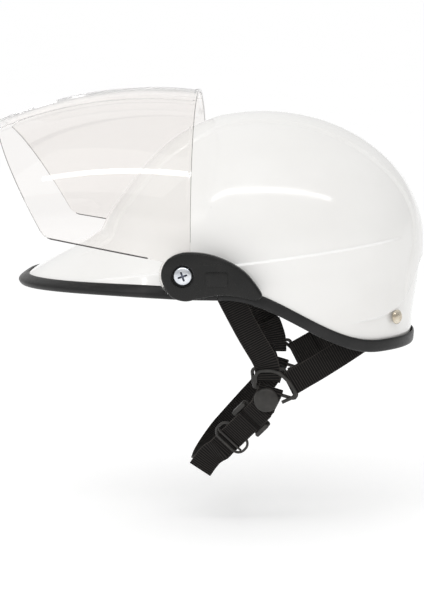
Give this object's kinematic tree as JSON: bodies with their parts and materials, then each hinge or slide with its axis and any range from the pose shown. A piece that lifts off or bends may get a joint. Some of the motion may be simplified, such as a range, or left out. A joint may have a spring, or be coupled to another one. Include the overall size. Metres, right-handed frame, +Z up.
{
  "type": "hard hat",
  "caption": "Hard hat with a peaked white shell, black edge trim, clear tilting visor on side pivots, webbing chin strap and ratchet suspension.",
  "frame": {"origin": "on the mid-plane, at the dome's centre front to back, at the height of the peak's rim, inside the head space", "axes": "+X to the wearer's left, -Y forward towards the peak, +Z up towards the crown"},
  "size_m": [0.2298, 0.3456, 0.3088],
  "materials": {
    "shell_white": "glossy moulded white",
    "trim_rubber": "satin black rubber",
    "visor_clear": "clear polished polycarbonate",
    "black_plastic": "fine grained black moulding",
    "bright_zinc": "bright zinc plated steel",
    "nickel": "nickel plated, slightly warm",
    "dark_metal": "black coated metal",
    "black_webbing": "ribbed black webbing",
    "white_webbing": "woven off-white webbing",
    "white_nylon": "moulded nylon",
    "foam": "fabric covered foam"
  },
  "bodies": {
    "shell": {"crown_pad": "foam", "crown_strap_1": "white_webbing", "crown_strap_2": "white_webbing", "crown_strap_3": "white_webbing", "edge_trim": "trim_rubber", "front_left_hanger": "white_nylon", "front_right_hanger": "white_nylon", "headband": "white_nylon", "left_friction_washer": "white_nylon", "left_front_strap": "black_webbing", "left_front_strap_rivet": "nickel", "left_front_strap_washer": "bright_zinc", "left_hanger": "white_nylon", "left_pivot_boss": "white_nylon", "left_pivot_bush": "bright_zinc", "left_pivot_cover": "black_plastic", "left_pivot_nut": "bright_zinc", "left_pivot_screw": "bright_zinc", "left_rear_rivet": "nickel", "left_rear_rivet_washer": "bright_zinc", "left_rear_strap": "black_webbing", "left_strap_ring": "dark_metal", "nape_pad": "foam", "outer_shell": "shell_white", "ratchet_housing": "black_plastic", "ratchet_plate": "white_nylon", "rear_left_hanger": "white_nylon", "rear_right_hanger": "white_nylon", "right_friction_washer": "white_nylon", "right_front_strap": "black_webbing", "right_front_strap_rivet": "nickel", "right_front_strap_washer": "bright_zinc", "right_hanger": "white_nylon", "right_pivot_boss": "white_nylon", "right_pivot_bush": "bright_zinc", "right_pivot_cover": "black_plastic", "right_pivot_nut": "bright_zinc", "right_pivot_screw": "bright_zinc", "right_rear_rivet": "nickel", "right_rear_rivet_washer": "bright_zinc", "right_rear_strap": "black_webbing", "right_strap_ring": "dark_metal", "sweatband": "foam"},
    "visor": {"visor": "visor_clear"},
    "chin_strap": {"chin_strap": "black_webbing", "strap_tail": "black_webbing", "lower_slide": "dark_metal", "left_snap_cap": "dark_metal", "right_snap_cap": "dark_metal", "left_snap_socket": "dark_metal", "right_snap_socket": "dark_metal"},
    "slide_adjuster": {"slide_adjuster": "black_plastic"},
    "ratchet_knob": {"ratchet_knob": "black_plastic"},
    "left_size_rack": {"left_size_rack": "white_nylon"},
    "right_size_rack": {"right_size_rack": "white_nylon"}
  },
  "joints": [
    {"name": "visor_tilt", "type": "hinge", "parent": "shell", "child": "visor", "pos_m": [0, -0.0579, 0.0152], "axis": [1, 0, 0], "range_deg": [0, 72]},
    {"name": "chin_strap_swing", "type": "hinge", "parent": "shell", "child": "chin_strap", "pos_m": [0, 0.0086, -0.0808], "axis": [1, 0, 0], "range_deg": [-6, 6]},
    {"name": "adjuster_slide", "type": "slide", "parent": "chin_strap", "child": "slide_adjuster", "axis": [-0.3633, -0.6357, -0.6811], "range_m": [-0.002, 0.004]},
    {"name": "knob_turn", "type": "hinge", "parent": "shell", "child": "ratchet_knob", "pos_m": [0, 0.1007, -0.026], "axis": [0, 1, 0], "range_deg": [-170, 170]},
    {"name": "left_rack_slide", "type": "hinge", "parent": "shell", "child": "left_size_rack", "pos_m": [0, 0.024, -0.026], "axis": [0, 0, 1], "range_deg": [-9.6, 9.6]},
    {"name": "right_rack_slide", "type": "hinge", "parent": "shell", "child": "right_size_rack", "pos_m": [0, 0.024, -0.026], "axis": [0, 0, 1], "range_deg": [-9.6, 9.6]}
  ],
  "couplings": [
    {"joint": "left_rack_slide", "follows": "knob_turn", "ratio": -0.0554},
    {"joint": "right_rack_slide", "follows": "knob_turn", "ratio": 0.0554}
  ]
}
